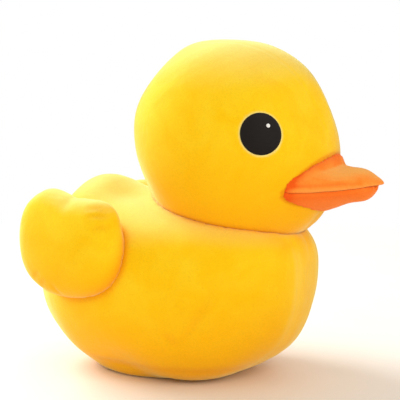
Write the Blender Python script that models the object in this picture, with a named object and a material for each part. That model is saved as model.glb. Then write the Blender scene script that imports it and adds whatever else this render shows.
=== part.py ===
"""Plush duck: a stuffed toy of short-pile fabric, standing on the flat under its belly.

Metres, +Z up, the beak points along -Y, and the duck's own right side is at -X.
The origin is the middle of the flat patch that the toy rests on.
"""
import math

import bmesh
import bpy
from mathutils import Matrix, Vector

# Gap between pieces that touch.
CLEARANCE = 0.0003

# Body: one stuffed bag, lofted from the chest at the front to the rump at the back.
BODY_FRONT_Y = -0.160
BODY_REAR_Y = 0.185
BODY_HALF_WIDTH = 0.137
CHEST_TIP_Z = 0.134
WAIST_Z = 0.106
RUMP_TIP_Z = 0.118
BACK_RISE = 0.108
BELLY_DROP = 0.122
TAIL_RISE = 0.046
TAIL_Y = 0.124
TAIL_SPREAD = 0.052
RUMP_TAPER = 0.26
BACK_SQUARENESS = 2.45
BELLY_SQUARENESS = 2.1
BELLY_POWER_FRONT = 0.62
BELLY_POWER_REAR = 0.66
BODY_SIDE_POWER = 0.66

# Head: one stuffed ball, a little longer along an axis that leans forward.
HEAD_CENTRE_Y = -0.069
HEAD_LONG_RADIUS = 0.128
HEAD_SHORT_RADIUS = 0.120
HEAD_HALF_WIDTH = 0.124
HEAD_LEAN = math.radians(28)
HEAD_SINK = 0.060

# Wings: a stuffed pad on each side, sewn on along its front edge and free at the back.
WING_CENTRE_Y = 0.089
WING_HALF_LENGTH = 0.074
WING_HALF_HEIGHT = 0.057
WING_HALF_THICKNESS = 0.034
WING_BELOW_BACK = 0.073
WING_STANDOFF = 0.006
WING_YAW = math.radians(14)
WING_TIP_RISE = 0.010
WING_TIP_ANGLE = math.radians(64)
WING_TIP_SPREAD = math.radians(30)
WING_OUTLINE_POWER = 0.85
WING_EDGE_POWER = 0.8

# Beak: an upper and a lower pad of smooth fabric, meeting along the lip.
BEAK_LIP_Z_OFFSET = -0.0505
BEAK_LIP_AIM = 0.9
BEAK_CORNER_HALF_WIDTH = 0.086
BEAK_REACH = 0.060
BEAK_ROOT_DEPTH = 0.075
UPPER_BEAK_ROOT_HEIGHT = 0.0575
BEAK_TIP_RISE = 0.007
BEAK_TIP_CURL = 3
LOWER_BEAK_SETBACK = 0.004
LOWER_BEAK_DEPTH = 0.026
BEAK_LIP_THICKNESS = 0.004
BEAK_PLAN_POWER = 1.25
BEAK_HEIGHT_POWER = 1.45
BEAK_SQUARENESS = 2.0

# Eyes: a low embroidered disc with a small highlight dot.
EYE_DIAMETER = 0.046
EYE_THICKNESS = 0.0072
EYE_LONGITUDE = math.radians(57)
EYE_LATITUDE = math.radians(6.8)
GLINT_DIAMETER = 0.0055
GLINT_THICKNESS = 0.0016
GLINT_FORWARD = 0.0070
GLINT_UP = 0.0085

# Facets.
BODY_STATIONS = 34
BODY_SEGMENTS = 56
HEAD_RINGS = 26
HEAD_SEGMENTS = 52
WING_RINGS = 14
WING_SEGMENTS = 36
BEAK_STATIONS = 18
BEAK_SEGMENTS = 28
EYE_SEGMENTS = 32
EYE_RINGS = 8
GLINT_SEGMENTS = 16
GLINT_RINGS = 6
SHARP_ANGLE = math.radians(50)

BODY_MID_Y = (BODY_FRONT_Y + BODY_REAR_Y) / 2
BODY_HALF_LENGTH = (BODY_REAR_Y - BODY_FRONT_Y) / 2


def clear_scene():
    for old in list(bpy.data.objects):
        bpy.data.objects.remove(old, do_unlink=True)


def material(name, colour, roughness, metallic=0.0):
    mat = bpy.data.materials.new(name)
    mat.use_nodes = True
    shader = mat.node_tree.nodes["Principled BSDF"]
    shader.inputs["Base Color"].default_value = (*colour, 1.0)
    shader.inputs["Roughness"].default_value = roughness
    shader.inputs["Metallic"].default_value = metallic
    return mat


def make_object(name, bm, mat=None):
    bmesh.ops.recalc_face_normals(bm, faces=bm.faces)
    if bm.calc_volume(signed=True) < 0:
        bmesh.ops.reverse_faces(bm, faces=bm.faces)
    mesh = bpy.data.meshes.new(name)
    bm.to_mesh(mesh)
    bm.free()
    mesh.shade_smooth()
    mesh.set_sharp_from_angle(angle=SHARP_ANGLE)
    obj = bpy.data.objects.new(name, mesh)
    bpy.context.scene.collection.objects.link(obj)
    if mat is not None:
        mesh.materials.append(mat)
    return obj


def make_cutter(name, bm):
    cutter = make_object(name, bm)
    cutter.hide_render = True
    cutter.display_type = "WIRE"
    return cutter


def cut(obj, cutter):
    mod = obj.modifiers.new(f"cut_{cutter.name}", "BOOLEAN")
    mod.operation = "DIFFERENCE"
    mod.solver = "EXACT"
    mod.object = cutter


def loft(rings, start_tip, end_tip):
    """Close a run of rings, each with the same count of points, with a tip at each end."""
    bm = bmesh.new()
    loops = [[bm.verts.new(p) for p in ring] for ring in rings]
    count = len(loops[0])
    for near, far in zip(loops, loops[1:]):
        for i in range(count):
            j = (i + 1) % count
            bm.faces.new((near[i], near[j], far[j], far[i]))
    for tip, loop in ((start_tip, loops[0]), (end_tip, loops[-1])):
        point = bm.verts.new(tip)
        for i in range(count):
            bm.faces.new((point, loop[i], loop[(i + 1) % count]))
    return bm


def rounded(value, power):
    return math.copysign(abs(value) ** power, value)


def section(y, centre_z, half_width, up, down, segments, upper_squareness, lower_squareness):
    """A closed outline across Y, with its own height and squareness above and below its widest line."""
    points = []
    for i in range(segments):
        angle = 2 * math.pi * i / segments
        above = math.sin(angle) > 0
        power = 2 / (upper_squareness if above else lower_squareness)
        across = rounded(math.cos(angle), power)
        rise = rounded(math.sin(angle), power)
        points.append(Vector((half_width * across, y, centre_z + (up if above else down) * rise)))
    return points


def waist_height(along):
    """Height of the body's widest line, where along runs from -1 at the chest to 1 at the rump."""
    bend = (CHEST_TIP_Z + RUMP_TIP_Z) / 2 - WAIST_Z
    slope = (RUMP_TIP_Z - CHEST_TIP_Z) / 2
    return WAIST_Z + slope * along + bend * along ** 2


def body_profile(along):
    """Y, widest height, half width, rise above and drop below, at one station of the body."""
    fullness = math.sqrt(max(0.0, 1 - along ** 2))
    y = BODY_MID_Y + BODY_HALF_LENGTH * along
    tail = TAIL_RISE * math.exp(-((y - TAIL_Y) / TAIL_SPREAD) ** 2)
    up = (BACK_RISE + tail) * fullness
    down = BELLY_DROP * fullness ** (BELLY_POWER_FRONT if along < 0 else BELLY_POWER_REAR)
    taper = 1 - RUMP_TAPER * max(0.0, along) ** 2
    half_width = BODY_HALF_WIDTH * taper * fullness ** BODY_SIDE_POWER
    return y, waist_height(along), half_width, up, down


def station_at(y):
    return max(-1.0, min(1.0, (y - BODY_MID_Y) / BODY_HALF_LENGTH))


def body_solid(grow=0.0):
    rings = []
    for i in range(1, BODY_STATIONS):
        along = -math.cos(math.pi * i / BODY_STATIONS)
        y, centre_z, half_width, up, down = body_profile(along)
        y += grow * along
        rings.append(section(y, centre_z, half_width + grow, up + grow, down + grow,
                             BODY_SEGMENTS, BACK_SQUARENESS, BELLY_SQUARENESS))
    front = Vector((0, BODY_FRONT_Y - grow, CHEST_TIP_Z))
    rear = Vector((0, BODY_REAR_Y + grow, RUMP_TIP_Z))
    return loft(rings, front, rear)


def flatten_base(bm):
    """Cut the belly off level with the surface that the toy stands on."""
    geom = bm.verts[:] + bm.edges[:] + bm.faces[:]
    bmesh.ops.bisect_plane(bm, geom=geom, plane_co=(0, 0, 0), plane_no=(0, 0, -1), clear_outer=True)
    rim = [edge for edge in bm.edges if edge.is_boundary]
    bmesh.ops.holes_fill(bm, edges=rim)


def head_frame():
    """Centre and lean of the head, sunk into the body's back line below it."""
    _, centre_z, _, up, _ = body_profile(station_at(HEAD_CENTRE_Y))
    back_z = centre_z + up
    reach_down = math.hypot(HEAD_LONG_RADIUS * math.cos(HEAD_LEAN), HEAD_SHORT_RADIUS * math.sin(HEAD_LEAN))
    centre = Vector((0, HEAD_CENTRE_Y, back_z - HEAD_SINK + reach_down))
    return centre, Matrix.Rotation(-HEAD_LEAN, 3, "X")


def head_radii(grow=0.0):
    return Vector((HEAD_HALF_WIDTH + grow, HEAD_SHORT_RADIUS + grow, HEAD_LONG_RADIUS + grow))


def head_solid(grow=0.0):
    centre, turn = head_frame()
    radii = head_radii(grow)
    bm = bmesh.new()
    bmesh.ops.create_uvsphere(bm, u_segments=HEAD_SEGMENTS, v_segments=HEAD_RINGS, radius=1.0)
    for vert in bm.verts:
        local = Vector((vert.co.x * radii.x, vert.co.y * radii.y, vert.co.z * radii.z))
        vert.co = centre + turn @ local
    return bm


def head_surface(direction):
    """Point and outward normal where a ray from the head's centre leaves the head."""
    centre, turn = head_frame()
    radii = head_radii()
    local = turn.transposed() @ direction.normalized()
    reach = 1 / math.sqrt(sum((local[i] / radii[i]) ** 2 for i in range(3)))
    point = local * reach
    normal = Vector([point[i] / radii[i] ** 2 for i in range(3)]).normalized()
    return centre + turn @ point, turn @ normal


def wing_solid(side):
    """A pad drawn round its own outline, thick in the middle, with a lifted tip at the back."""
    y, waist_z, half_width, up, _ = body_profile(station_at(WING_CENTRE_Y))
    wing_z = waist_z + up - WING_BELOW_BACK
    level = max(0.0, wing_z - waist_z) / up
    skin_x = half_width * (1 - level ** BACK_SQUARENESS) ** (1 / BACK_SQUARENESS)
    centre = Vector((side * (skin_x + WING_STANDOFF), y, wing_z))
    turn = Matrix.Rotation(side * WING_YAW, 3, "Z")
    rings = []
    for i in range(1, WING_RINGS):
        lift = -math.pi / 2 + math.pi * i / WING_RINGS
        out = WING_HALF_THICKNESS * math.sin(lift)
        shrink = math.cos(lift) ** WING_EDGE_POWER
        ring = []
        for k in range(WING_SEGMENTS):
            angle = 2 * math.pi * k / WING_SEGMENTS
            away = (angle - WING_TIP_ANGLE + math.pi) % (2 * math.pi) - math.pi
            tip = WING_TIP_RISE * math.exp(-(away / WING_TIP_SPREAD) ** 2)
            back = (WING_HALF_LENGTH + tip) * rounded(math.cos(angle), WING_OUTLINE_POWER) * shrink
            rise = (WING_HALF_HEIGHT + tip) * rounded(math.sin(angle), WING_OUTLINE_POWER) * shrink
            ring.append(centre + turn @ Vector((side * out, back, rise)))
        rings.append(ring)
    inner = centre + turn @ Vector((-side * WING_HALF_THICKNESS, 0, 0))
    outer = centre + turn @ Vector((side * WING_HALF_THICKNESS, 0, 0))
    return loft(rings, inner, outer)


def beak_frame():
    """Where the lip meets the head on the midline, and where the tip of the beak is."""
    centre, _ = head_frame()
    lip_z = centre.z + BEAK_LIP_Z_OFFSET
    front, _ = head_surface(Vector((0, -BEAK_LIP_AIM, BEAK_LIP_Z_OFFSET / HEAD_SHORT_RADIUS)))
    return front.y, front.y - BEAK_REACH, lip_z


def beak_solid(root_height, root_depth, setback, grow=0.0):
    """A pointed pad whose widest line is the lip, thinning from the head to a rounded tip."""
    front_y, tip_y, lip_z = beak_frame()
    tip_y += setback
    root_y = front_y + BEAK_ROOT_DEPTH
    rings = []
    for i in range(1, BEAK_STATIONS):
        along = math.sin(math.pi / 2 * i / BEAK_STATIONS)
        y = root_y + (tip_y - root_y) * along
        fade = math.sqrt(1 - along ** 2)
        half_width = BEAK_CORNER_HALF_WIDTH * fade ** BEAK_PLAN_POWER
        thin = fade ** BEAK_HEIGHT_POWER
        z = lip_z + BEAK_TIP_RISE * along ** BEAK_TIP_CURL
        rings.append(section(y, z, half_width + grow, root_height * thin + grow, root_depth * thin + grow,
                             BEAK_SEGMENTS, BEAK_SQUARENESS, BEAK_SQUARENESS))
    start = Vector((0, root_y, lip_z))
    end = Vector((0, tip_y - grow, lip_z + BEAK_TIP_RISE))
    return loft(rings, start, end)


def upper_beak_solid(grow=0.0):
    return beak_solid(UPPER_BEAK_ROOT_HEIGHT, BEAK_LIP_THICKNESS, 0.0, grow)


def lower_beak_solid():
    return beak_solid(BEAK_LIP_THICKNESS, LOWER_BEAK_DEPTH, LOWER_BEAK_SETBACK)


def eye_frame(side):
    """Axes of the eye patch: its middle on the head, forward and up along the skin, and out."""
    across = math.sin(EYE_LONGITUDE) * math.cos(EYE_LATITUDE)
    ahead = math.cos(EYE_LONGITUDE) * math.cos(EYE_LATITUDE)
    point, normal = head_surface(Vector((side * across, -ahead, math.sin(EYE_LATITUDE))))
    upward = (Vector((0, 0, 1)) - normal * normal.z).normalized()
    forward = upward.cross(normal) * -side
    return point, forward.normalized(), upward, normal


def dome(centre, forward, upward, normal, radius, thickness, segments, rings, grow=0.0):
    """A lens with its flat directions along the skin."""
    bm = bmesh.new()
    bmesh.ops.create_uvsphere(bm, u_segments=segments, v_segments=rings, radius=1.0)
    for vert in bm.verts:
        flat = forward * vert.co.x * (radius + grow) + upward * vert.co.y * (radius + grow)
        vert.co = centre + flat + normal * vert.co.z * (thickness + grow)
    return bm


def eye_solid(side, grow=0.0):
    point, forward, upward, normal = eye_frame(side)
    radius = EYE_DIAMETER / 2
    sag = radius ** 2 / (2 * HEAD_HALF_WIDTH)
    return dome(point - normal * sag, forward, upward, normal, radius, EYE_THICKNESS,
                EYE_SEGMENTS, EYE_RINGS, grow)


def glint_solid(side):
    point, forward, upward, normal = eye_frame(side)
    radius = EYE_DIAMETER / 2
    sag = radius ** 2 / (2 * HEAD_HALF_WIDTH)
    offset = math.hypot(GLINT_FORWARD, GLINT_UP)
    height = EYE_THICKNESS * math.sqrt(1 - (offset / radius) ** 2) - sag
    centre = point + forward * GLINT_FORWARD + upward * GLINT_UP + normal * height
    return dome(centre, forward, upward, normal, GLINT_DIAMETER / 2, GLINT_THICKNESS,
                GLINT_SEGMENTS, GLINT_RINGS)


def build():
    clear_scene()
    yellow = material("yellow_plush", (0.95, 0.56, 0.012), 0.9)
    orange = material("orange_fabric", (0.95, 0.24, 0.035), 0.8)
    black = material("black_embroidery", (0.012, 0.010, 0.008), 0.5)
    white = material("white_embroidery", (0.9, 0.9, 0.88), 0.6)

    head_seat = make_cutter("head_seat", head_solid(CLEARANCE))
    body_seat = make_cutter("body_seat", body_solid(CLEARANCE))
    beak_seat = make_cutter("beak_seat", upper_beak_solid(CLEARANCE))

    make_object("head", head_solid(), yellow)
    belly = body_solid()
    flatten_base(belly)
    body = make_object("body", belly, yellow)
    cut(body, head_seat)

    for name, side in (("right", -1), ("left", 1)):
        wing = make_object(f"wing_{name}", wing_solid(side), yellow)
        cut(wing, body_seat)
        eye = make_object(f"eye_{name}", eye_solid(side), black)
        cut(eye, head_seat)
        eye_seat = make_cutter(f"eye_seat_{name}", eye_solid(side, CLEARANCE))
        glint = make_object(f"eye_glint_{name}", glint_solid(side), white)
        cut(glint, eye_seat)

    upper = make_object("upper_beak", upper_beak_solid(), orange)
    cut(upper, head_seat)
    lower = make_object("lower_beak", lower_beak_solid(), orange)
    cut(lower, head_seat)
    cut(lower, beak_seat)


build()
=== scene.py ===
# %% [markdown]
# A plush duck, sewn from short-pile fabric and stuffed with polyester fibre.
# The sizes and the places of its pieces come from a model made earlier, which is loaded here
# as a fixed frame. This script gives each piece its soft shape, its seams and its finish.
# All lengths are in metres, +Z is up, and the beak points along -Y. The duck's right side is -X.

# %% Load the frame
import math

import bmesh
import bpy
import numpy as np
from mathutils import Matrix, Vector, noise
from mathutils.bvhtree import BVHTree


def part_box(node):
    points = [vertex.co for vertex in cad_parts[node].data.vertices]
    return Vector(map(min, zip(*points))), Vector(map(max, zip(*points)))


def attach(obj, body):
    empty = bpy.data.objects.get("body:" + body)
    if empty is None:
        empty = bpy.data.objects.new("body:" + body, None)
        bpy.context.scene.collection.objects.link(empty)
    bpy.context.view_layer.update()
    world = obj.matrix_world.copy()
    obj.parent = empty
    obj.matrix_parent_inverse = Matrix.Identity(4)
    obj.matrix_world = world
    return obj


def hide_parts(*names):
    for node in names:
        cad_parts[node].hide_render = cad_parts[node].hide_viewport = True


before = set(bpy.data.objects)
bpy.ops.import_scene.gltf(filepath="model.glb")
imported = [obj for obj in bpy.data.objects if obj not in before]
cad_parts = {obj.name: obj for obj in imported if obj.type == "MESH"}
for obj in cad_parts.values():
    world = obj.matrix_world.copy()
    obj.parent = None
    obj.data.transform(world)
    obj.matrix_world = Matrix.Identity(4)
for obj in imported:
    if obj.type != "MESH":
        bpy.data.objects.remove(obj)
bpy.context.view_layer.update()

MM = 0.001

# %% [markdown]
# The photograph was taken from the duck's right side, a little ahead of it, with a long lens
# held at about the height of its head. A camera is a position, a direction and a lens, so those
# three are written down and nothing is left to a helper that would guess them.

# %% Camera
PHOTO_PIXELS = 400
FOCAL_PIXELS = 1019.0
SENSOR_WIDTH_MM = 36.0
CAMERA_AZIMUTH = math.radians(-66.0)
CAMERA_DISTANCE = 1.241
CAMERA_HEIGHT = 0.3177
CAMERA_PITCH = math.radians(5.16)
CAMERA_YAW = math.radians(0.85)

lens = bpy.data.cameras.new("photo_camera")
lens.sensor_width = SENSOR_WIDTH_MM
lens.lens = FOCAL_PIXELS / PHOTO_PIXELS * SENSOR_WIDTH_MM
camera = bpy.data.objects.new("photo_camera", lens)
bpy.context.scene.collection.objects.link(camera)
camera.location = (math.sin(CAMERA_AZIMUTH) * CAMERA_DISTANCE,
                   -math.cos(CAMERA_AZIMUTH) * CAMERA_DISTANCE, CAMERA_HEIGHT)
camera.rotation_euler = (math.pi / 2 - CAMERA_PITCH, 0, CAMERA_AZIMUTH - CAMERA_YAW)
bpy.context.scene.camera = camera
print("lens in mm:", round(lens.lens, 1))

# %% [markdown]
# Colours are picked as sRGB hex values, the way a paint program shows them, and the shaders
# count in linear light. One function makes the change, so every colour below can be compared
# with the photograph by eye. A second function adds one node, with its settings and its links,
# and every material is built from it.

# %% Colour and node helpers
def linear(hex_colour):
    """An sRGB hex colour as linear red, green, blue and an alpha of 1, by the sRGB standard."""
    parts = [int(hex_colour[i:i + 2], 16) / 255 for i in (1, 3, 5)]
    return tuple(v / 12.92 if v <= 0.04045 else ((v + 0.055) / 1.055) ** 2.4
                 for v in parts) + (1.0,)


def add(tree, kind, inputs=None, **settings):
    """Add a node. Each input is a value, or the socket of another node to link from."""
    made = tree.nodes.new(kind)
    for name, value in settings.items():
        setattr(made, name, value)
    for name, value in (inputs or {}).items():
        if isinstance(value, bpy.types.NodeSocket):
            tree.links.new(value, made.inputs[name])
        else:
            made.inputs[name].default_value = value
    return made


def start_material(name):
    """An empty material with its shader, and the coordinates of the piece in metres."""
    made = bpy.data.materials.new(name)
    made.use_nodes = True
    tree = made.node_tree
    tree.nodes.clear()
    shader = add(tree, "ShaderNodeBsdfPrincipled")
    add(tree, "ShaderNodeOutputMaterial", {"Surface": shader.outputs["BSDF"]})
    place = add(tree, "ShaderNodeTexCoord").outputs["Object"]
    return made, tree, shader, place


print("middle grey in linear light:", round(linear("#808080")[0], 3))

# %% [markdown]
# The skin is short-pile polyester plush: a knitted back with fibres about 1.5 mm long standing
# up from it. Fibres that thin scatter light, so the cloth has no gloss, but it takes a pale
# bloom where it turns away from the eye, which is what sheen is for. The pile lies over in
# patches where a hand has brushed it, so there are soft clouds of lighter and deeper yellow.
# Where the cloth faces down it takes a deeper yellow, a painted shade, and where it faces up a
# paler yellow, a painted light.
# Along seams and round the eyes the pile is parted and paler, and the lip of the beak takes a
# paler painted highlight. In creases, along seams and under the head the colour is darkened by
# painted shade. Both come from a value kept on each point of the mesh, called pile: 0 is full
# painted shade, 0.5 is plain and 1 is the paler colour.
# Real clumps of fibre are about 0.8 mm across, too fine for one pixel, so they are drawn at
# 2.2 mm. The beak is brushed velour, the same cloth with a pile of half the length, so it gets
# the same nodes with finer sizes, less bloom and its own colours.

# %% Pile fabric
CLUMP = 2.2 * MM
PILE_BUMP = 0.7 * MM
BRUSH_MARK = 36 * MM
FURROW_BUMPS = 3  # a brushed patch stands this many pile bumps above the next one
FIBRE_GLOSS = 0.15  # a bundle of fibres reflects far less than smooth plastic


def pile_fabric(name, lit, plain, underside_shade, top_light, painted_shade, parted_and_highlight, bloom, clump, mark, depth, sheen):
    """Pile in seven colours, with its clumps, its brushed patches and its bump in metres."""
    made, tree, shader, place = start_material(name)
    marks = add(tree, "ShaderNodeTexNoise", {"Vector": place, "Scale": 1 / mark, "Detail": 3.0,
                                             "Roughness": 0.5, "Distortion": 0.7})
    brushed = add(tree, "ShaderNodeMapRange", {"Value": marks.outputs["Fac"],
                                               "From Min": 0.36, "From Max": 0.66})
    normal = add(tree, "ShaderNodeNewGeometry").outputs["Normal"]
    up = add(tree, "ShaderNodeSeparateXYZ", {0: normal}).outputs["Z"]
    # Painted shade on faces that turn down, and painted light on faces that turn up.
    underside_share = add(tree, "ShaderNodeMapRange", {"Value": up, "From Min": 0.35, "From Max": -0.8},
                interpolation_type="SMOOTHSTEP")
    above = add(tree, "ShaderNodeMapRange", {"Value": up, "From Min": 0.45, "From Max": 1.2},
                interpolation_type="SMOOTHSTEP")
    pile = add(tree, "ShaderNodeAttribute", attribute_name="pile").outputs["Fac"]
    # Painted shade below 0.5 of the pile value, and above it the paler colour of parted pile and
    # painted highlights.
    shade_share = add(tree, "ShaderNodeMapRange", {"Value": pile, "From Min": 0.5, "From Max": 0.0})
    pale_share = add(tree, "ShaderNodeMapRange", {"Value": pile, "From Min": 0.5, "From Max": 1.0})
    # Each look is laid over the ones before it, by its own share.
    colour = linear(plain)
    for share, look in ((brushed, lit), (underside_share, underside_shade), (above, top_light), (shade_share, painted_shade),
                        (pale_share, parted_and_highlight)):
        mixed = add(tree, "ShaderNodeMix", {"Factor": share.outputs[0], "A": colour,
                                            "B": linear(look)}, data_type="RGBA")
        colour = mixed.outputs["Result"]
    # Clumps of fibre make each spot a little lighter or darker.
    clumps = add(tree, "ShaderNodeTexNoise", {"Vector": place, "Scale": 1 / clump, "Detail": 4.0,
                                              "Roughness": 0.65, "Distortion": 0.4})
    speckle = add(tree, "ShaderNodeMapRange", {"Value": clumps.outputs["Fac"], "From Min": 0.3,
                                               "From Max": 0.7, "To Min": 0.94, "To Max": 1.05})
    tinted = add(tree, "ShaderNodeHueSaturation", {"Value": speckle.outputs[0], "Color": colour})
    tree.links.new(tinted.outputs["Color"], shader.inputs["Base Color"])
    # Both noises also raise the surface, the slow one by more.
    furrows = add(tree, "ShaderNodeBump", {"Height": marks.outputs["Fac"],
                                           "Distance": FURROW_BUMPS * depth, "Strength": 0.35})
    nap = add(tree, "ShaderNodeBump", {"Height": clumps.outputs["Fac"], "Distance": depth,
                                       "Strength": 0.55, "Normal": furrows.outputs["Normal"]})
    tree.links.new(nap.outputs["Normal"], shader.inputs["Normal"])
    shader.inputs["Roughness"].default_value = 0.9
    shader.inputs["Specular IOR Level"].default_value = FIBRE_GLOSS
    shader.inputs["Sheen Weight"].default_value = sheen
    shader.inputs["Sheen Roughness"].default_value = 0.32
    shader.inputs["Sheen Tint"].default_value = linear(bloom)
    return made


# Soft, matt and deep yellow, with a milky rim wherever it turns away.
yellow_plush = pile_fabric("short_pile_polyester_plush",
                           lit="#FFD21A", plain="#FFC905", underside_shade="#FDB600", top_light="#FFF18E",
                           painted_shade="#F09A02", parted_and_highlight="#FFEA8C", bloom="#FFF6B4",
                           clump=CLUMP, mark=BRUSH_MARK, depth=PILE_BUMP, sheen=1.0)
# Smoother and denser than the plush, so its orange stays clear up to the rim.
orange_plush = pile_fabric("brushed_orange_velour",
                           lit="#FF9A3A", plain="#FF8728", underside_shade="#FF8028", top_light="#FFBE62",
                           painted_shade="#F45E12", parted_and_highlight="#FFA850", bloom="#FFDDA0",
                           clump=0.7 * CLUMP, mark=0.6 * BRUSH_MARK, depth=0.5 * PILE_BUMP,
                           sheen=0.35)
print("fabrics:", yellow_plush.name, orange_plush.name)

# %% [markdown]
# The eyes are machine embroidery: satin stitches of black polyester thread, laid side by side so
# densely that no cloth shows between them. A 0.4 mm thread can't be seen at this distance, so the
# rows are drawn 1.3 mm apart. Thread is smoother than pile, so the patch has a dull gleam that
# follows the rows. The dot in each eye, a painted highlight, is the same stitch in white, with
# finer rows.

# %% Embroidery
STITCH_ROW = 1.3 * MM
STITCH_BUMP = 0.25 * MM
WAVES_PER_UNIT = 20.0  # at scale 1 the wave texture draws 20 bands in 2 pi units
THREAD_BLOOM = 0.03


def embroidery(name, thread, shadow, row, rough):
    """Satin stitch: rows of thread with a darker gap between them, and a little fuzz."""
    made, tree, shader, place = start_material(name)
    rows = add(tree, "ShaderNodeTexWave", {"Vector": place,
                                           "Scale": 2 * math.pi / (WAVES_PER_UNIT * row),
                                           "Distortion": 0.6, "Detail": 2.0, "Detail Scale": 3.0},
               bands_direction="Z")
    fuzz = add(tree, "ShaderNodeTexNoise", {"Vector": place, "Scale": 1 / row, "Detail": 3.0})
    shade = add(tree, "ShaderNodeMix", {"Factor": rows.outputs["Fac"], "A": linear(shadow),
                                        "B": linear(thread)}, data_type="RGBA")
    worn = add(tree, "ShaderNodeMapRange", {"Value": fuzz.outputs["Fac"],
                                            "To Min": 0.8, "To Max": 1.2})
    tinted = add(tree, "ShaderNodeHueSaturation", {"Value": worn.outputs[0],
                                                   "Color": shade.outputs["Result"]})
    tree.links.new(tinted.outputs["Color"], shader.inputs["Base Color"])
    ridges = add(tree, "ShaderNodeBump", {"Height": rows.outputs["Fac"], "Distance": STITCH_BUMP,
                                          "Strength": 0.6})
    tree.links.new(ridges.outputs["Normal"], shader.inputs["Normal"])
    shader.inputs["Roughness"].default_value = rough
    shader.inputs["Specular IOR Level"].default_value = FIBRE_GLOSS
    shader.inputs["Sheen Weight"].default_value = THREAD_BLOOM
    return made


black_thread = embroidery("black_satin_stitch", thread="#170F0B", shadow="#0E0907",
                          row=STITCH_ROW, rough=0.55)
white_highlight_thread = embroidery("white_highlight_stitch", thread="#FFFFFF", shadow="#E8E4DC",
                          row=0.6 * STITCH_ROW, rough=0.5)
print("stitch rows in mm:", round(STITCH_ROW / MM, 2))

# %% [markdown]
# Every stuffed piece starts from the plain solid of the frame. A voxel remesh turns its facets
# into an even net of small squares, which is what a cloth simulation and a sculpting step both
# need. The facets would still show as flats, so the net is faired: each point moves towards the
# middle of its neighbours, then slightly further back, which smooths without shrinking.

# %% Mesh helpers
FAIR_THERE = 0.5
FAIR_BACK = -0.52
SAME_POINT = 0.01 * MM


def points_of(piece):
    flat = np.empty(len(piece.data.vertices) * 3)
    piece.data.vertices.foreach_get("co", flat)
    return flat.reshape(-1, 3)


def move_points(piece, points):
    piece.data.vertices.foreach_set("co", points.ravel())
    piece.data.update()


def normals_of(piece):
    flat = np.empty(len(piece.data.vertices) * 3)
    piece.data.vertex_normals.foreach_get("vector", flat)
    return flat.reshape(-1, 3)


def neighbours_of(piece):
    """The two ends of every edge."""
    flat = np.empty(len(piece.data.edges) * 2, dtype=np.int64)
    piece.data.edges.foreach_get("vertices", flat)
    return flat.reshape(-1, 2)


def bake_modifiers(piece):
    """Replace the mesh by what its modifiers make of it."""
    depsgraph = bpy.context.evaluated_depsgraph_get()
    made = bpy.data.meshes.new_from_object(piece.evaluated_get(depsgraph))
    piece.modifiers.clear()
    piece.data = made


def new_piece(name, bm):
    """Turn a finished bmesh into an object of the scene."""
    mesh = bpy.data.meshes.new(name)
    bm.to_mesh(mesh)
    bm.free()
    piece = bpy.data.objects.new(name, mesh)
    bpy.context.scene.collection.objects.link(piece)
    return piece


def fair(piece, rounds, share=1.0):
    """Smooth a net without shrinking it, by a share of 1 everywhere or of each point's own."""
    ends = neighbours_of(piece)
    points = points_of(piece)
    counts = np.bincount(ends.ravel(), minlength=len(points))[:, None]
    share = np.broadcast_to(share, len(points))[:, None]
    for step in [FAIR_THERE, FAIR_BACK] * rounds:
        total = np.zeros_like(points)
        np.add.at(total, ends[:, 0], points[ends[:, 1]])
        np.add.at(total, ends[:, 1], points[ends[:, 0]])
        points = points + step * share * (total / counts - points)
    move_points(piece, points)


def soft_copy(node, name, voxel, rounds):
    """A fine, even, faired copy of a node's solid, as a new piece."""
    bm = bmesh.new()
    bm.from_mesh(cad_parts[node].data)
    bmesh.ops.remove_doubles(bm, verts=bm.verts, dist=SAME_POINT)
    piece = new_piece(name, bm)
    remesh = piece.modifiers.new("even_net", "REMESH")
    remesh.mode = "VOXEL"
    remesh.voxel_size = voxel
    bake_modifiers(piece)
    fair(piece, rounds)
    print(name, "net points:", len(piece.data.vertices))
    return piece


print("a round of fairing goes there and back by:", FAIR_THERE, FAIR_BACK)

# %% [markdown]
# A stuffed bag is taut where fibre pushes the cloth out and held back where it is sewn. The cloth
# solver does the same: it starts from a slightly smaller bag, blows it up with pressure, and
# keeps the sewn points where they are. How far any point may go is capped, so the piece keeps its
# size. Gravity is off, since fibre filling carries itself. The net is split finer afterwards.

# %% Stuffing
PRESSURE = 4.0
FRAMES = 20
SOLVER_STEPS = 5
FABRIC_TENSION = 18.0
FABRIC_BENDING = 2.0
LEAST_WEIGHT = 0.01


def stuff(piece, sewn, smaller, cap):
    """Blow a piece up against its sewn points, whose weight runs from 0, free, to 1, held."""
    start = points_of(piece)
    move_points(piece, start - normals_of(piece) * smaller * (1 - sewn)[:, None])
    held = piece.vertex_groups.new(name="sewn")
    for index in np.flatnonzero(sewn > LEAST_WEIGHT):
        held.add([int(index)], float(sewn[index]), "REPLACE")
    cloth = piece.modifiers.new("stuffing", "CLOTH")
    cloth.settings.quality = SOLVER_STEPS
    cloth.settings.use_pressure = True
    cloth.settings.uniform_pressure_force = PRESSURE
    cloth.settings.effector_weights.gravity = 0
    cloth.settings.vertex_group_mass = "sewn"
    cloth.settings.tension_stiffness = FABRIC_TENSION
    cloth.settings.compression_stiffness = FABRIC_TENSION
    cloth.settings.bending_stiffness = FABRIC_BENDING
    cloth.collision_settings.use_collision = False
    cloth.point_cache.frame_start = 1
    cloth.point_cache.frame_end = FRAMES
    for number in range(1, FRAMES + 1):
        bpy.context.scene.frame_set(number)
    bake_modifiers(piece)
    bpy.context.scene.frame_set(1)
    piece.vertex_groups.clear()
    moved = points_of(piece) - start
    length = np.linalg.norm(moved, axis=1, keepdims=True)
    capped = moved * np.minimum(1, cap / np.maximum(length, 1e-9))
    move_points(piece, start + capped)
    print(piece.name, "swelled by up to mm:", round(float(length.max()) / MM, 1),
          "cap", cap / MM)


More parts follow.
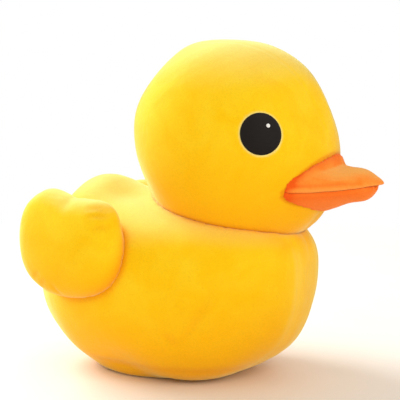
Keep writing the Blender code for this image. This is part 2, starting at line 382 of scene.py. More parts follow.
def refine(piece):
    """Split every square of the net in four, which also rounds it."""
    finer = piece.modifiers.new("finer", "SUBSURF")
    finer.levels = 1
    finer.render_levels = 1
    bake_modifiers(piece)


print("stuffing: pressure", PRESSURE, "over", FRAMES, "frames")

# %% [markdown]
# Seams, tucks and creases come after the stuffing, because a remesh would wipe them out. Each is a
# distance: how far a point lies from the neighbouring piece, or from a line drawn on the cloth.
# So these helpers measure distances, and turn them into two curves. A bell is 1 on the line and
# falls off softly on both sides, as the shoulders of a crease do. A ramp runs from 0 to 1
# between two distances, for everything that fades in or out.

# %% Distances and curves
NEAR_ENOUGH = 30 * MM


def bell(distance, width):
    return np.exp(-(distance / width) ** 2)


def ramp(value, full, none):
    """1 at full, 0 at none, and a smooth run between them."""
    share = np.clip((value - none) / (full - none), 0, 1)
    return share * share * (3 - 2 * share)


def surface_of(piece):
    """A search tree of a piece's faces, with the box that it fills."""
    points = points_of(piece)
    tree = BVHTree.FromPolygons([Vector(p) for p in points],
                                [tuple(f.vertices) for f in piece.data.polygons])
    return tree, points.min(axis=0), points.max(axis=0)


def distances(points, surface, reach):
    """Distance of each point to a surface, inside negative, with the nearest place and normal."""
    tree, low, high = surface
    gaps = np.full(len(points), reach)
    places = points.copy()
    ways = np.zeros_like(points)
    in_box = np.all((points > low - reach) & (points < high + reach), axis=1)
    for i in np.flatnonzero(in_box):
        place, way, _, gap = tree.find_nearest(Vector(points[i]), reach)
        if place is None:
            continue
        side = (Vector(points[i]) - place).dot(way)
        gaps[i] = gap if side >= 0 else -gap
        places[i] = place
        ways[i] = way
    return gaps, places, ways


def away_from(points, nodes, reach=NEAR_ENOUGH):
    """Distance of each point to the nearest of some of the frame's solids."""
    return np.min([np.abs(distances(points, cad_surface[n], reach)[0]) for n in nodes], axis=0)


def along_line(points, line):
    """Distance of each point to a line of corners, and how far along it the nearest place is."""
    best = np.full(len(points), np.inf)
    where = np.zeros(len(points))
    corners = [np.array(c) for c in line]
    spans = len(corners) - 1
    for number, (a, b) in enumerate(zip(corners, corners[1:])):
        run = b - a
        share = np.clip((points - a) @ run / (run @ run), 0, 1)
        gap = np.linalg.norm(points - a - share[:, None] * run, axis=1)
        closer = gap < best
        best = np.where(closer, gap, best)
        where = np.where(closer, (number + share) / spans, where)
    return best, where


cad_surface = {name: surface_of(node) for name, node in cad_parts.items()}
print("solids to measure from:", len(cad_surface))

# %% [markdown]
# The sculpting itself is a few small moves, each for one thing that happens to a stuffed bag. It
# is pulled in along a seam or a fold, it is filled more in one place than in another, it is
# uneven inside, and it is pressed against the bag next to it. Pressing comes last, so that
# neither piece cuts through the other.

# %% Sculpting helpers
GAP = 0.3 * MM  # left between two pieces that touch
PRESS_REACH = 6 * MM
SHARPEN_REACH = 8 * MM
SETTLE_ROUNDS = 3
FLOOR_FREE, FLOOR_HELD = 12 * MM, 1 * MM  # heights between which the floor stops a swelling
FOLD_ENDS = (0.02, 0.98)
LUMP_OFFSET = (7.3, 3.1, 5.7)  # how far apart in the noise two pieces' fillings lie


def pull(piece, amounts):
    """Move each point in along its normal by its own amount."""
    move_points(piece, points_of(piece) - normals_of(piece) * amounts[:, None])


def swell_at(piece, spots, share=1.0):
    """Fill the bag more, or less, round some spots, given in mm for the +X side and mirrored."""
    points = points_of(piece)
    mirrored = points.copy()
    mirrored[:, 0] = np.abs(mirrored[:, 0])
    more = np.zeros(len(points))
    for x, y, z, radius, amount in spots:
        gap = np.linalg.norm(mirrored - np.array([x, y, z]) * MM, axis=1)
        more += share * amount * MM * bell(gap, radius * MM)
    pull(piece, -more * ramp(points[:, 2], FLOOR_FREE, FLOOR_HELD))


def fold_strength(gap, where, width):
    """How strong a fold is: a bell across its line, and a rise and fall along it."""
    return bell(gap, width) * np.sin(np.pi * np.clip(where, *FOLD_ENDS))


def crease(piece, line, width, depth):
    """A soft fold along a line of corners, deepest in its middle. Gives back its strength."""
    strength = fold_strength(*along_line(points_of(piece), line), width)
    pull(piece, depth * strength)
    return strength


def lumps(points, size, seed):
    """Slow, even unevenness of a filling, from -1 to 1."""
    offset = Vector([seed * step for step in LUMP_OFFSET])
    return np.array([noise.noise(Vector(p) / size + offset) for p in points])


def sharpen(piece, node, share):
    """Bring points back to their solid, by a share each, where the net rounded an edge off."""
    points = points_of(piece)
    _, places, _ = distances(points, cad_surface[node], SHARPEN_REACH)
    move_points(piece, points + share[:, None] * (places - points))


def press(piece, surface, touching):
    """Lay points a gap off a neighbour by how much each touches it, and push out what cuts in."""
    points = points_of(piece)
    gap, places, ways = distances(points, surface, PRESS_REACH)
    share = np.where(gap < GAP, 1.0, touching)
    share = np.where(np.abs(gap) < PRESS_REACH, share, 0.0)[:, None]
    move_points(piece, points + share * (places + ways * GAP - points))


def settle(piece, surface, node, full, none):
    """Press a piece on its neighbour, even out the line where they meet, and press once more."""
    press(piece, surface, ramp(away_from(points_of(piece), [node]), full, none))
    fair(piece, SETTLE_ROUNDS, bell(away_from(points_of(piece), [node]), none))
    press(piece, surface, np.zeros(len(piece.data.vertices)))


print("gap between pieces in mm:", round(GAP / MM, 2))

# %% [markdown]
# Two things are done to every piece once it has its shape. How its pile lies, with its painted
# shade and painted highlights, is stored on its points, for the fabric to read. Then it gets its
# finish and smooth shading, is hung from the frame's root, and the solid that it stands for is
# hidden.

# %% Finishing helpers
def keep_pile_and_painted_light(piece, painted_shade, parted_and_highlight=0):
    """Store the pile value: 0 full painted shade, 0.5 plain, 1 the paler colour of parted pile and
    painted highlights.
    """
    value = np.clip(0.5 - 0.5 * painted_shade + 0.5 * parted_and_highlight, 0, 1)
    layer = piece.data.attributes.new("pile", "FLOAT", "POINT")
    layer.data.foreach_set("value", value.astype(np.float32))


def dress(piece, node, material):
    """Give a piece its finish and smooth shading, hang it from the root and hide the solid it
    replaces.
    """
    piece.data.materials.clear()
    piece.data.materials.append(material)
    piece.data.shade_smooth()
    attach(piece, "root")
    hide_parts(node)


print("nodes that will be replaced:", sorted(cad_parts))

# %% [markdown]
# The head is a ball sewn from two side panels and a strip that runs over the top from the beak to
# the nape. A sphere with a noise on it would do from far away. Here the sewn lines are held while
# the cloth swells, so the panels between them belly out a little, as they do on the real toy.
# The cloth is also held where the beak, the eyes and the body are stitched to it.

# %% Head
BEAKS = ["upper_beak", "lower_beak"]
SIDES = {"right": -1, "left": 1}
HEAD_VOXEL = 4.2 * MM
HEAD_FAIRING = 10
STRIP_HALF_WIDTH_FRONT = 20 * MM
STRIP_HALF_WIDTH_TOP = 40 * MM
STRIP_FADE = 20 * MM  # the two seams fade in over this height round the head's middle
SEAM_WIDTH = 4.5 * MM
SEAM_HOLD = 0.7  # how firmly a seam between two panels is held, where a stitched edge has 1
HEAD_SEAM_WIDTH = 0.7 * SEAM_WIDTH
HEAD_SEAM_DEPTH = 0.5 * MM
STITCH_HELD, STITCH_FREE = 3 * MM, 14 * MM  # held this near a stitched edge, free this far off
SWELL = 0.5 * MM
SWELL_CAP = 4 * MM
LUMP_SIZE = 48 * MM
LUMP_HEIGHT = 0.9 * MM
LUMPS_FROM, LUMPS_NONE = 14 * MM, 4 * MM  # no lumps right beside the next piece
# Each spot: x, y, z, radius and how much fuller the bag is there, in mm.
HEAD_SPOTS = [
    (0, -62, 401, 46, -3.5),    # the crown is pressed flat
    (25, -22, 391, 28, 3.0),    # and pushes the filling out behind it
    (45, -173, 318, 34, -5.5),  # the brow, drawn in by the stitches of eye and beak
    (25, -160, 192, 30, 4.5),   # the throat under the beak
    (43, 41, 313, 36, 3.5),     # the back of the head
    (62, 25, 232, 26, -3.0),    # the sides of the nape
]

low, high = (np.array(corner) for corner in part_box("head"))
head_middle = (low + high) / 2


def strip_edge(points):
    """Distance to the two long seams over the head, and 1 in the upper half where they show."""
    turn = np.arctan2(points[:, 2] - head_middle[2], head_middle[1] - points[:, 1])
    rise = np.clip(np.sin(turn), 0, 1)
    edge = STRIP_HALF_WIDTH_FRONT + (STRIP_HALF_WIDTH_TOP - STRIP_HALF_WIDTH_FRONT) * rise
    over = np.clip((points[:, 2] - head_middle[2] + STRIP_FADE / 2) / STRIP_FADE, 0, 1)
    return np.abs(np.abs(points[:, 0]) - edge), over


head = soft_copy("head", "head_plush", HEAD_VOXEL, HEAD_FAIRING)
points = points_of(head)
edge_gap, over = strip_edge(points)
stitched = away_from(points, ["body"] + BEAKS + [f"eye_{side}" for side in SIDES])
stuff(head, np.maximum(ramp(stitched, STITCH_HELD, STITCH_FREE),
                       SEAM_HOLD * bell(edge_gap, SEAM_WIDTH) * over), SWELL, SWELL_CAP)
refine(head)
swell_at(head, HEAD_SPOTS)
points = points_of(head)
edge_gap, over = strip_edge(points)
to_beak = away_from(points, BEAKS)
pull(head, HEAD_SEAM_DEPTH * bell(edge_gap, HEAD_SEAM_WIDTH) * over
     - LUMP_HEIGHT * lumps(points, LUMP_SIZE, 1) * ramp(to_beak, LUMPS_FROM, LUMPS_NONE))
head_surface = surface_of(head)
print("middle of the head in mm:", (head_middle / MM).round(1))

# %% [markdown]
# How the pile lies on the head: a thin line of painted shade round the beak and in the neck
# crease, and parted pile in a thin ring round each eye, where the embroidery pushes the fibres
# outwards and one sees their pale tips side on.

# %% Pile and painted shade on the head
RING_WIDTH = 1.2 * MM
RING_REACH = 12 * MM
HEAD_NECK_SHADE, HEAD_NECK_WIDTH = 0.45, 4 * MM
BEAK_LINE_WIDTH = 1.8 * MM

points = points_of(head)
ring_gap = away_from(points, [f"eye_{side}" for side in SIDES], RING_REACH)
# Painted shade in the neck crease and along the beak; the ring round the eyes is parted pile.
keep_pile_and_painted_light(head,
          painted_shade=HEAD_NECK_SHADE * bell(away_from(points, ["body"]), HEAD_NECK_WIDTH)
          + bell(away_from(points, BEAKS), BEAK_LINE_WIDTH),
          parted_and_highlight=bell(ring_gap - 0.5 * RING_WIDTH, RING_WIDTH))
dress(head, "head", yellow_plush)
print("head points:", len(head.data.vertices))

# %% [markdown]
# The body is the biggest bag. A strip runs down the chest between two seams, and an oval panel
# closes the underside. Its top edge is sewn to the head round a ring: the filling pushes both
# bags out on either side of the stitches, so they press on each other and leave only a thin
# crease. The underside stays flat on the floor, because the filling settles there under the toy's
# weight, and for the same reason the body is fullest low down.

# %% Body
WINGS = ["wing_right", "wing_left"]
BODY_VOXEL = 4.2 * MM
BODY_FAIRING = 12
RIM_SHARP, RIM_SOFT = 3 * MM, 12 * MM  # how near the head the body's rim is kept sharp
CHEST_STRIP_HALF_WIDTH = 36 * MM
CHEST_FRONT, CHEST_END = -70 * MM, -40 * MM  # the chest seams run out between these places
BASE_SEAM_HEIGHT = 20 * MM
BODY_SEAM_HOLD = 0.6
FLAT_HELD, FLAT_FREE = 1 * MM, 5 * MM  # heights between which the flat underside is let go
BODY_SEAM_DEPTH = 0.5 * MM
BASE_SEAM_SHARE = 0.7
SHOULDER_WIDTH = 7 * MM
SHOULDER_DEPTH = 0.6 * MM
BODY_SPOTS = [
    (10, -130, 40, 42, 6.5),    # low on the chest
    (85, -46, 14, 52, 7.5),     # the foot of each flank, where the filling settles
    (74, -95, 16, 40, 4.0),     # and further to the front
    (99, 49, 22, 42, -7.5),     # drawn in again under the wings
    (34, 143, 26, 45, -3.5),    # the underside of the rump
    (0, 112, 231, 32, 4.0),     # the top of the tail
    (0, 64, 224, 34, 1.0),      # the back ahead of it
    (44, 54, 217, 24, -3.0),    # to either side behind the neck
    (15, -152, 172, 24, 3.0),   # the top of the chest, under the throat
]


def in_front(points):
    """1 on the chest, and 0 from where its seams have run out."""
    return ramp(points[:, 1], CHEST_FRONT, CHEST_END)


def body_seams(points):
    """How close each point is to the chest seams and to the seam of the oval base."""
    chest_gap = np.abs(np.abs(points[:, 0]) - CHEST_STRIP_HALF_WIDTH)
    chest = bell(chest_gap, SEAM_WIDTH) * in_front(points)
    base = bell(points[:, 2] - BASE_SEAM_HEIGHT, SEAM_WIDTH)
    return chest, base


body = soft_copy("body", "body_plush", BODY_VOXEL, BODY_FAIRING)
sharpen(body, "body", ramp(away_from(points_of(body), ["head"]), RIM_SHARP, RIM_SOFT))
points = points_of(body)
chest, base = body_seams(points)
stitched = ramp(away_from(points, ["head"] + WINGS), STITCH_HELD, STITCH_FREE)
on_floor = ramp(points[:, 2], FLAT_HELD, FLAT_FREE)
stuff(body, np.maximum.reduce([stitched, BODY_SEAM_HOLD * chest, BODY_SEAM_HOLD * base, on_floor]),
      SWELL, SWELL_CAP)
refine(body)
swell_at(body, BODY_SPOTS)
points = points_of(body)
chest, base = body_seams(points)
to_head = away_from(points, ["head"])
pull(body, BODY_SEAM_DEPTH * (chest + BASE_SEAM_SHARE * base)
     + SHOULDER_DEPTH * bell(to_head, SHOULDER_WIDTH)
     - LUMP_HEIGHT * lumps(points, LUMP_SIZE, 2) * ramp(to_head, LUMPS_FROM, LUMPS_NONE))
print("chest strip in mm:", round(2 * CHEST_STRIP_HALF_WIDTH / MM))

# %% [markdown]
# On each flank a shallow fold rises from the base, with a short one beside it, where the side
# panel was eased into the oval. They are drawn as lines of corners near the cloth and pulled in.
# After them the body is pressed against the head, and everything below the floor is set on it.

# %% Folds on the flanks
# Corners x, y, z in mm on the right side. The left side mirrors them.
FLANK_FOLDS = [
    [(-122, -44, 46), (-122, -62, 74), (-119, -78, 100), (-114, -90, 128)],
    [(-122, -44, 46), (-126, -30, 70)],
]
FLANK_FOLD_WIDTH = 6 * MM
FLANK_FOLD_DEPTH = 1.2 * MM
NECK_FULL, NECK_NONE = 2.0 * MM, 6.5 * MM

folded = np.zeros(len(body.data.vertices))
for line in FLANK_FOLDS:
    for mirror in SIDES.values():
        corners = [(-mirror * x * MM, y * MM, z * MM) for x, y, z in line]
        folded = np.maximum(folded, crease(body, corners, FLANK_FOLD_WIDTH, FLANK_FOLD_DEPTH))
settle(body, head_surface, "head", NECK_FULL, NECK_NONE)
points = points_of(body)
points[:, 2] = np.maximum(points[:, 2], 0)
move_points(body, points)
print("fold points on the flanks:", int((folded > 0.5).sum()))

# %% [markdown]
# On the body a painted shade darkens the neck crease, the folds, the seams of the base and the
# chest, and a line round the wings. Under the head a wider band of painted shade stands for the
# head's shadow, while behind the head the crease is open to the light and its painted shade is
# fainter. Beside the two chest seams the pile is parted a little, which makes two faint paler
# bands.

# %% Pile and painted shade on the body
SHADE_FULL, SHADE_NONE = -60 * MM, 5 * MM  # in shade up to the first place, open from the second
NECK_SHADE, NECK_WIDTH = 0.5, 3.5 * MM
NECK_OPEN = 0.3
THROAT_SHADE, THROAT_WIDTH = 0.3, 22 * MM
BASE_SHADE = 0.4
FLANK_FOLD_SHADE = 0.2
WING_LINE_SHADE, WING_LINE_WIDTH = 0.7, 5.5 * MM
CHEST_SEAM_SHADE = 0.1
CHEST_PARTED, CHEST_BAND = 0.25, 10 * MM

chest, base = body_seams(points)
chest_band = bell(np.abs(points[:, 0]) - CHEST_STRIP_HALF_WIDTH, CHEST_BAND) * in_front(points)
shaded = ramp(points[:, 1], SHADE_FULL, SHADE_NONE)
to_head = away_from(points, ["head"])
to_wing = away_from(points, WINGS)
# Painted shade in the creases and under the head, and the paler bands of parted pile.
keep_pile_and_painted_light(body,
          painted_shade=NECK_SHADE * bell(to_head, NECK_WIDTH) * (NECK_OPEN + (1 - NECK_OPEN) * shaded)
          + THROAT_SHADE * bell(to_head, THROAT_WIDTH) * shaded
          + BASE_SHADE * base + FLANK_FOLD_SHADE * folded
          + WING_LINE_SHADE * bell(to_wing, WING_LINE_WIDTH) + CHEST_SEAM_SHADE * chest,
          parted_and_highlight=CHEST_PARTED * chest_band)
dress(body, "body", yellow_plush)
body_surface = surface_of(body)
print("body points:", len(body.data.vertices))

# %% [markdown]
# Each wing is two panels sewn edge to edge and stuffed, then stitched to the body along its front.
# The tension of that stitching draws short folds in the cloth, which fan out from the front edge,
# and the bottom edge has a few dimples where the seam allowance bunches up inside. A wider dent
# runs in from the top edge, between the lobe that is sewn down and the free tip behind it.
# The left wing is stuffed less than the right one: in the photograph nothing of it shows above
# the back.

# %% Wings
WING_VOXEL = 3.4 * MM
WING_FAIRING = 8
WING_SWELL = 0.3 * MM
WING_CAP = 3 * MM
WING_SHARP, WING_SOFT = 2 * MM, 8 * MM
WING_HELD, WING_FREE = 2 * MM, 9 * MM
RIM_TURN, RIM_HOLD = 0.3, 0.5  # the edge seam is where the cloth faces neither in nor out
WING_SPOTS = [
    (119, 141, 202, 27, 3.5),   # the free lobe
    (113, 116, 221, 17, 4.5),   # its top
    (124, 156, 170, 30, 2.5),   # its back edge
    (125, 40, 205, 23, 9.0),    # the top corner of the lobe that is sewn down
]
WING_FILL = {"right": 1.0, "left": 0.2}
# Folds as corners y, z in mm: three that fan out from the front edge, three at the bottom edge.
WING_FOLDS = [
    [(30, 203), (44, 207), (62, 206)],
    [(27, 196), (40, 199), (54, 198)],
    [(24, 186), (34, 187), (46, 184)],
    [(92, 100), (99, 109), (105, 121)],
    [(124, 110), (118, 117), (110, 123)],
    [(134, 121), (127, 126), (118, 130)],
]
WING_FOLD_WIDTH = 3.6 * MM
WING_FOLD_DEPTH = 0.9 * MM
OUTER_TURN = 2  # a fold is whole where the cloth faces at least half outwards
DENT = [(78, 232), (84, 212)]
DENT_WIDTH = 8 * MM
DENT_DEPTH = 1.8 * MM
WING_LUMP_SIZE = 30 * MM
WING_LUMP_HEIGHT = 0.7 * MM
WING_FULL, WING_NONE = 1.5 * MM, 6.0 * MM
WING_FOLD_SHADE = 0.3
WING_EDGE_SHADE, WING_EDGE_WIDTH = 0.85, 11 * MM


def from_side(points, line):
    """Distance to a line drawn in side view, and how far along it the nearest place is."""
    return along_line(points * np.array([0, 1, 1]), [(0, y * MM, z * MM) for y, z in line])


def make_wing(side, mirror):
    """Stuff one wing, fold it, press it on the body and finish it."""
    node = f"wing_{side}"
    wing = soft_copy(node, f"{node}_plush", WING_VOXEL, WING_FAIRING)
    sharpen(wing, node, ramp(away_from(points_of(wing), ["body"]), WING_SHARP, WING_SOFT))
    points = points_of(wing)
    rim = bell(normals_of(wing)[:, 0], RIM_TURN)
    stuff(wing, np.maximum(ramp(away_from(points, ["body"]), WING_HELD, WING_FREE),
                           RIM_HOLD * rim), WING_SWELL, WING_CAP)
    refine(wing)
    swell_at(wing, WING_SPOTS, WING_FILL[side])
    folded = np.zeros(len(wing.data.vertices))
    for line in WING_FOLDS:
        outer = np.clip(normals_of(wing)[:, 0] * mirror * OUTER_TURN, 0, 1)
        strength = fold_strength(*from_side(points_of(wing), line), WING_FOLD_WIDTH) * outer
        pull(wing, WING_FOLD_DEPTH * strength)
        folded = np.maximum(folded, strength)
    points = points_of(wing)
    gap, _ = from_side(points, DENT)
    pull(wing, DENT_DEPTH * bell(gap, DENT_WIDTH)
         - WING_LUMP_HEIGHT * lumps(points, WING_LUMP_SIZE, 3 + mirror))
    settle(wing, body_surface, "body", WING_FULL, WING_NONE)
    to_body = away_from(points_of(wing), ["body"])
    # Painted shade in the folds and along the edge that lies against the body.
    keep_pile_and_painted_light(wing, painted_shade=WING_FOLD_SHADE * folded
              + WING_EDGE_SHADE * bell(to_body, WING_EDGE_WIDTH))
    dress(wing, node, yellow_plush)
    return wing


wings = {side: make_wing(side, mirror) for side, mirror in SIDES.items()}
print("wing points:", {side: len(w.data.vertices) for side, w in wings.items()})

# %% [markdown]
# The beak is two small pads of orange velour, each drawn out from its plain solid. The ridge of
# the upper pad dips just ahead of the head, its point is pulled out a little, and at the corners
# of the mouth it stands higher. The lower pad is filled more, so it sags and has a round chin.
# Both are easier to make by moving points than by drawing curves, because the solids already
# have the pads' outline and their seat on the head.

# %% Shape of the beak pads
POINT_LENGTH = 3.5 * MM
POINT_START = 12 * MM
SCOOP_PLACE = -201 * MM
SCOOP_LENGTH = 22 * MM
SCOOP = 0.31  # the share of the ridge's height above the lip that the dip takes away
SCOOP_FULL, SCOOP_NONE = 7 * MM, 0.5 * MM
ROOT_DROP = 1.5 * MM  # to either side of the ridge the root lies lower
ROOT_OUT, ROOT_IN = 20 * MM, 5 * MM
ROOT_WIDE, ROOT_END = 40 * MM, 60 * MM
ROOT_HIGH, ROOT_LOW = 18 * MM, 4 * MM  # heights above the lip
ROOT_LENGTH = 9 * MM
CHEEK_PLACE = 80 * MM  # the corners of the mouth, to either side of the middle
CHEEK_WIDTH = 10 * MM
CHEEK_RISE = 6 * MM
CHEEK_HIGH = 4 * MM
JAW_FULLNESS = 0.35
JAW_HALF_WIDTH = 42 * MM
CHIN_LENGTH = 40 * MM
CHIN_FULLNESS = 1.5
CHIN_REACH = 4 * MM
LIP_PLACES = 10
LIP_FIRST, LIP_LAST, LIP_SLICE = 3 * MM, 12 * MM, 8 * MM


def lip_height(points, node):
    """Height of a pad's widest line at each point's place along the beak, from its solid."""
    own = points_of(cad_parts[node])
    places = np.linspace(own[:, 1].min() + LIP_FIRST, own[:, 1].max() - LIP_LAST, LIP_PLACES)
    heights = []
    for y in places:
        near = own[np.abs(own[:, 1] - y) < LIP_SLICE]
        heights.append(near[np.argmax(np.abs(near[:, 0])), 2])
    return np.interp(points[:, 1], places, heights)


def draw_upper(points, above):
    """Scoop the ridge, lower the root beside it, raise the cheeks and draw out the point."""
    tip = points[:, 1].min()
    aside = np.abs(points[:, 0])
    free = ramp(away_from(points, ["head"]), SCOOP_FULL, SCOOP_NONE)
    dip = bell(points[:, 1] - SCOOP_PLACE, SCOOP_LENGTH)
    points[:, 2] -= np.maximum(above, 0) * SCOOP * dip * free
    beside = ramp(aside, ROOT_OUT, ROOT_IN) * ramp(aside, ROOT_WIDE, ROOT_END)
    top = ramp(above, ROOT_HIGH, ROOT_LOW)
    points[:, 2] -= ROOT_DROP * beside * top * bell(away_from(points, ["head"]), ROOT_LENGTH)
    cheek = bell(aside - CHEEK_PLACE, CHEEK_WIDTH)
    points[:, 2] += CHEEK_RISE * cheek * ramp(above, CHEEK_HIGH, 0)
    points[:, 1] -= POINT_LENGTH * ramp(points[:, 1], tip, tip + POINT_START) ** 2


def draw_lower(points, above):
    """Let the pad sag with its filling, most under the middle and at the chin."""
    tip = points[:, 1].min()
    chin = ramp(points[:, 1], tip, tip + CHIN_LENGTH)
    fuller = JAW_FULLNESS * bell(points[:, 0], JAW_HALF_WIDTH) + CHIN_FULLNESS * chin ** 2
    points[:, 2] += np.minimum(above, 0) * fuller
    points[:, 1] -= CHIN_REACH * chin


print("the ridge dips most at y in mm:", round(SCOOP_PLACE / MM))

# %% [markdown]
# The edge of the upper pad is a rolled lip, because the seam between its top and bottom panels is
# turned inside and the filling pushes the cloth out over it. So there is a shallow furrow a few
# millimetres above the edge, which runs out before the tip, and the edge itself takes a paler
# painted highlight. Along the root, in the furrow, at the corners of the mouth and deep between
# the pads the cloth gets an orange painted shade. The upper pad is made first, and the lower one
# is pressed against it.

# %% Beak
BEAK_VOXEL = 1.9 * MM
BEAK_FAIRING = 3
BEAK_SHARPNESS = 0.85
BEAK_SWELL = 0.1 * MM
BEAK_CAP = 2.0 * MM
BEAK_HELD, BEAK_FREE = 1.5 * MM, 6 * MM
BEAK_EDGE = 3 * MM
LIP_ROLL = 6.5 * MM
LIP_ROLL_LEAST = 0.4
LIP_FURROW_WIDTH = 2.2 * MM
LIP_FURROW_DEPTH = 0.7 * MM
TIP_FADE = 30 * MM
BEAK_LUMP_SIZE = 20 * MM
BEAK_LUMP_HEIGHT = 0.4 * MM
SEAT_FULL, SEAT_NONE = 0.8 * MM, 2.5 * MM
MOUTH_FULL, MOUTH_NONE = 2.0 * MM, 5.0 * MM
ROOT_SHADE_WIDTH = 4 * MM
CORNER_SHADE_WIDTH = 9 * MM
ROLL_SHADE = 0.4
MOUTH_SHADE, MOUTH_SHADE_WIDTH = 0.75, 7 * MM
BEAK_SHADE = 0.8
LIP_HIGHLIGHT, LIP_HIGHLIGHT_WIDTH = 0.6, 3.5 * MM


def make_pad(node, upper=None):
    """Make the upper pad, or the lower one against the upper one that is given."""
    pad = soft_copy(node, f"{node}_pad", BEAK_VOXEL, BEAK_FAIRING)
    sharpen(pad, node, np.full(len(pad.data.vertices), BEAK_SHARPNESS))
    fair(pad, 1)
    points = points_of(pad)
    draw = draw_upper if upper is None else draw_lower
    draw(points, points[:, 2] - lip_height(points, node))
    move_points(pad, points)
    points = points_of(pad)
    rim = bell(points[:, 2] - lip_height(points, node), BEAK_EDGE)
    stuff(pad, np.maximum(ramp(away_from(points, ["head"]), BEAK_HELD, BEAK_FREE), rim),
          BEAK_SWELL, BEAK_CAP)
    refine(pad)
    points = points_of(pad)
    over_lip = points[:, 2] - lip_height(points, node)
    from_tip = (points[:, 1] - points[:, 1].min()) / TIP_FADE
    off_tip = np.clip(from_tip, 0, 1)
    roll, lip_highlight = np.zeros(len(points)), 0
    if upper is None:
        furrow = LIP_ROLL * np.clip(from_tip, LIP_ROLL_LEAST, 1)
        roll = bell(over_lip - furrow, LIP_FURROW_WIDTH) * off_tip
        lip_highlight = bell(over_lip, LIP_HIGHLIGHT_WIDTH)
    pull(pad, LIP_FURROW_DEPTH * roll
         - BEAK_LUMP_HEIGHT * lumps(points, BEAK_LUMP_SIZE, 5) * off_tip)
    settle(pad, head_surface, "head", SEAT_FULL, SEAT_NONE)
    to_head = away_from(points_of(pad), ["head"])
    corner = (bell(np.abs(points[:, 0]) - CHEEK_PLACE, CHEEK_WIDTH)
              * bell(to_head, CORNER_SHADE_WIDTH))
    # Painted shade at the root, in the furrow, at the corners of the mouth and between the pads,
    # and a painted highlight along the lip.
    shade = bell(to_head, ROOT_SHADE_WIDTH) + ROLL_SHADE * roll + corner
    if upper is not None:
        settle(pad, surface_of(upper), "upper_beak", MOUTH_FULL, MOUTH_NONE)
        shade = shade + MOUTH_SHADE * bell(away_from(points, ["upper_beak"]), MOUTH_SHADE_WIDTH)
    keep_pile_and_painted_light(pad, painted_shade=BEAK_SHADE * shade, parted_and_highlight=LIP_HIGHLIGHT * lip_highlight)
    dress(pad, node, orange_plush)
    return pad


upper_pad = make_pad("upper_beak")
lower_pad = make_pad("lower_beak", upper_pad)
print("beak points:", len(upper_pad.data.vertices), len(lower_pad.data.vertices))

# %% [markdown]
# An embroidered eye follows the cloth that it is stitched through. So its disc is not placed by
# hand: rays are sent at the head from just outside it, and each point of the disc is laid where
# its ray lands, raised a little by the padding under the stitches. The disc is a closed low dome,
# with an underside sunk into the cloth, so that no light gets in behind it.

# %% Embroidered discs
RING_COUNT = 22
SPOKE_COUNT = 96
RAY_START_MM = 30


def disc_on(surface, middle, out, radius, height, edge, name):
    """A closed low dome laid on a surface: edge above it at the rim, and edge deep below it."""
    upward = (Vector((0, 0, 1)) - out * out.z).normalized()
    across = upward.cross(out)
    bm = bmesh.new()

    def lay(distance, angle, lift):
        offset = across * math.cos(angle) * distance + upward * math.sin(angle) * distance
        place, _, _, _ = surface[0].ray_cast(middle + offset + out * RAY_START_MM * MM, -out)
        return bm.verts.new((place or middle + offset) + out * lift)

    def ring(share, lift):
        return [lay(radius * share, 2 * math.pi * k / SPOKE_COUNT, lift)
                for k in range(SPOKE_COUNT)]

    shares = [math.sin(math.pi / 2 * (n + 1) / RING_COUNT) for n in range(RING_COUNT)]
    top = [ring(share, edge + height * math.sqrt(max(0, 1 - share ** 2))) for share in shares]
    under = [ring(share, -edge) for share in reversed(shares)]
    rings = top + under
    for near, far in zip(rings, rings[1:]):
        for k in range(SPOKE_COUNT):
            following = (k + 1) % SPOKE_COUNT
            bm.faces.new((near[k], near[following], far[following], far[k]))
    for loop, lift in ((rings[0], edge + height), (rings[-1], -edge)):
        centre = lay(0, 0, lift)
        for k in range(SPOKE_COUNT):
            bm.faces.new((centre, loop[(k + 1) % SPOKE_COUNT], loop[k]))
    bmesh.ops.recalc_face_normals(bm, faces=bm.faces)
    return new_piece(name, bm)


def middle_of(node):
    return sum((Vector(corner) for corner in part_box(node)), Vector()) / 2


print("points in a disc:", 2 * RING_COUNT * SPOKE_COUNT + 2)

# %% [markdown]
# Each eye is a black disc 46 mm across, as high in the middle as a few layers of stitches over a
# padding. The white dot, a painted highlight, is a small disc laid on the black one in the same
# way, up and to the front, where a round glossy eye would catch the light. Stitching it, as the
# real toy does, keeps it in place from every side, which a real highlight would not do.

# %% Eyes
EYE_RADIUS = 23 * MM
EYE_HEIGHT = 3.4 * MM
EYE_EDGE = 0.7 * MM
DOT_RADIUS = 2.2 * MM
DOT_HEIGHT = 0.5 * MM
DOT_EDGE = 0.3 * MM

for side in SIDES:
    place, out, _, _ = head_surface[0].find_nearest(middle_of(f"eye_{side}"))
    eye = disc_on(head_surface, place, out, EYE_RADIUS, EYE_HEIGHT, EYE_EDGE, f"eye_{side}_patch")
    dress(eye, f"eye_{side}", black_thread)
    eye_surface = surface_of(eye)
    place, facing, _, _ = eye_surface[0].find_nearest(middle_of(f"eye_glint_{side}"))
    dot = disc_on(eye_surface, place, facing, DOT_RADIUS, DOT_HEIGHT, DOT_EDGE, f"eye_{side}_dot")
    dress(dot, f"eye_glint_{side}", white_highlight_thread)
    print("eye", side, "laid on the head at mm:", [round(v / MM) for v in place])

# %% [markdown]
# The stage is a wide pale floor that fades to white away from the toy, so that no edge shows
# behind it. The fade is for what the camera and mirrors see. Light that bounces off the floor
# still comes from its plain colour, and the toy's shadow stays. The world behind the floor is
# made white in the same way, so both ask one helper which rays those are.

# %% Floor
FLOOR_RADIUS = 6.0
FLOOR_SIDES = 96
FLOOR_DROP = 0.2 * MM
FADE_START = 0.6
FADE_END = 1.7
GRAINS_PER_METRE = 9.0


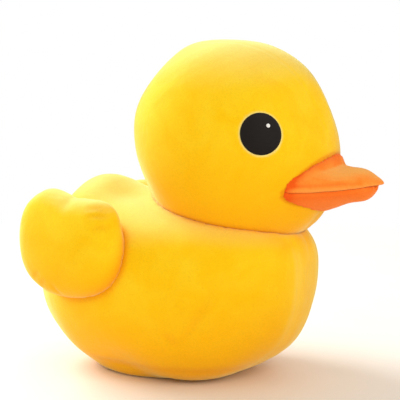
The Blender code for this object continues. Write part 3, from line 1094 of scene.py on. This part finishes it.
def seen_directly(tree):
    """A socket that is 1 for rays from the camera, off mirrors and through glass."""
    path = add(tree, "ShaderNodeLightPath")
    seen = add(tree, "ShaderNodeMath", {0: path.outputs["Is Camera Ray"],
                                        1: path.outputs["Is Glossy Ray"]}, operation="MAXIMUM")
    through = add(tree, "ShaderNodeMath", {0: seen.outputs[0],
                                           1: path.outputs["Is Transmission Ray"]},
                  operation="MAXIMUM")
    return through.outputs[0]


bm = bmesh.new()
bmesh.ops.create_circle(bm, cap_ends=True, segments=FLOOR_SIDES, radius=FLOOR_RADIUS)
floor = new_piece("floor", bm)
floor.location.z = -FLOOR_DROP
# A matt board with hardly any grain, so that only the shadow shows on it.
floor_material, tree, shader, place = start_material("pale_floor")
grain = add(tree, "ShaderNodeTexNoise",
            {"Vector": place, "Scale": GRAINS_PER_METRE, "Detail": 3.0})
tone = add(tree, "ShaderNodeMix", {"Factor": grain.outputs["Fac"], "A": linear("#F1ECE4"),
                                   "B": linear("#F7F3EC")}, data_type="RGBA")
tree.links.new(tone.outputs["Result"], shader.inputs["Base Color"])
shader.inputs["Roughness"].default_value = 0.6
reach = add(tree, "ShaderNodeVectorMath", {0: place}, operation="LENGTH")
fade = add(tree, "ShaderNodeMapRange", {"Value": reach.outputs["Value"], "From Min": FADE_START,
                                        "From Max": FADE_END}, interpolation_type="SMOOTHSTEP")
share = add(tree, "ShaderNodeMath", {0: seen_directly(tree), 1: fade.outputs[0]},
            operation="MULTIPLY")
white = add(tree, "ShaderNodeEmission", {"Color": linear("#FFFFFF"), "Strength": 1.0})
mixed = add(tree, "ShaderNodeMixShader", {0: share.outputs[0], 1: shader.outputs["BSDF"],
                                          2: white.outputs["Emission"]})
output = next(n for n in tree.nodes if n.type == "OUTPUT_MATERIAL")
tree.links.new(mixed.outputs["Shader"], output.inputs["Surface"])
floor.data.materials.append(floor_material)
print("the floor fades to white between metres:", FADE_START, FADE_END)

# %% [markdown]
# In the photograph the strongest light falls softly from behind the duck on the left, and pale
# light comes from all round. So one large soft lamp stands there, high up, a weaker one stands
# right of the camera, and an even pale world fills the rest. A large lamp gives a soft shadow, as
# an overcast sky does, where a small one would draw a hard edge.

# %% Light
WORLD_FILL = 0.66
BACK_PLACE, BACK_SIZE, BACK_WATTS = (0.4, 1.85, 1.5), 1.8, 62.0
FRONT_PLACE, FRONT_SIZE, FRONT_WATTS = (-1.1, -1.9, 1.3), 1.6, 17.0
LAMP_AIM = Vector((0, 0, 0.2))  # the middle of the duck


def soft_lamp(name, place, size, watts, colour):
    """A round lamp of a size in metres, turned towards the duck."""
    lamp = bpy.data.lights.new(name, "AREA")
    lamp.shape = "DISK"
    lamp.size = size
    lamp.energy = watts
    lamp.color = linear(colour)[:3]
    holder = bpy.data.objects.new(name, lamp)
    bpy.context.scene.collection.objects.link(holder)
    holder.location = place
    holder.rotation_euler = (LAMP_AIM - Vector(place)).to_track_quat("-Z", "Y").to_euler()


soft_lamp("back_lamp", BACK_PLACE, BACK_SIZE, BACK_WATTS, "#FFFFFF")
soft_lamp("front_lamp", FRONT_PLACE, FRONT_SIZE, FRONT_WATTS, "#FFFAF2")

world = bpy.data.worlds.new("pale_world")
world.use_nodes = True
bpy.context.scene.world = world
tree = world.node_tree
tree.nodes.clear()
filling = add(tree, "ShaderNodeBackground", {"Color": linear("#FFFDF8"), "Strength": WORLD_FILL})
backdrop = add(tree, "ShaderNodeBackground", {"Color": linear("#FFFFFF"), "Strength": 1.0})
both = add(tree, "ShaderNodeMixShader", {0: seen_directly(tree), 1: filling.outputs[0],
                                         2: backdrop.outputs[0]})
add(tree, "ShaderNodeOutputWorld", {"Surface": both.outputs["Shader"]})
bpy.context.scene.view_settings.view_transform = "Standard"
print("lamps in watts:", BACK_WATTS, FRONT_WATTS, "world:", WORLD_FILL)
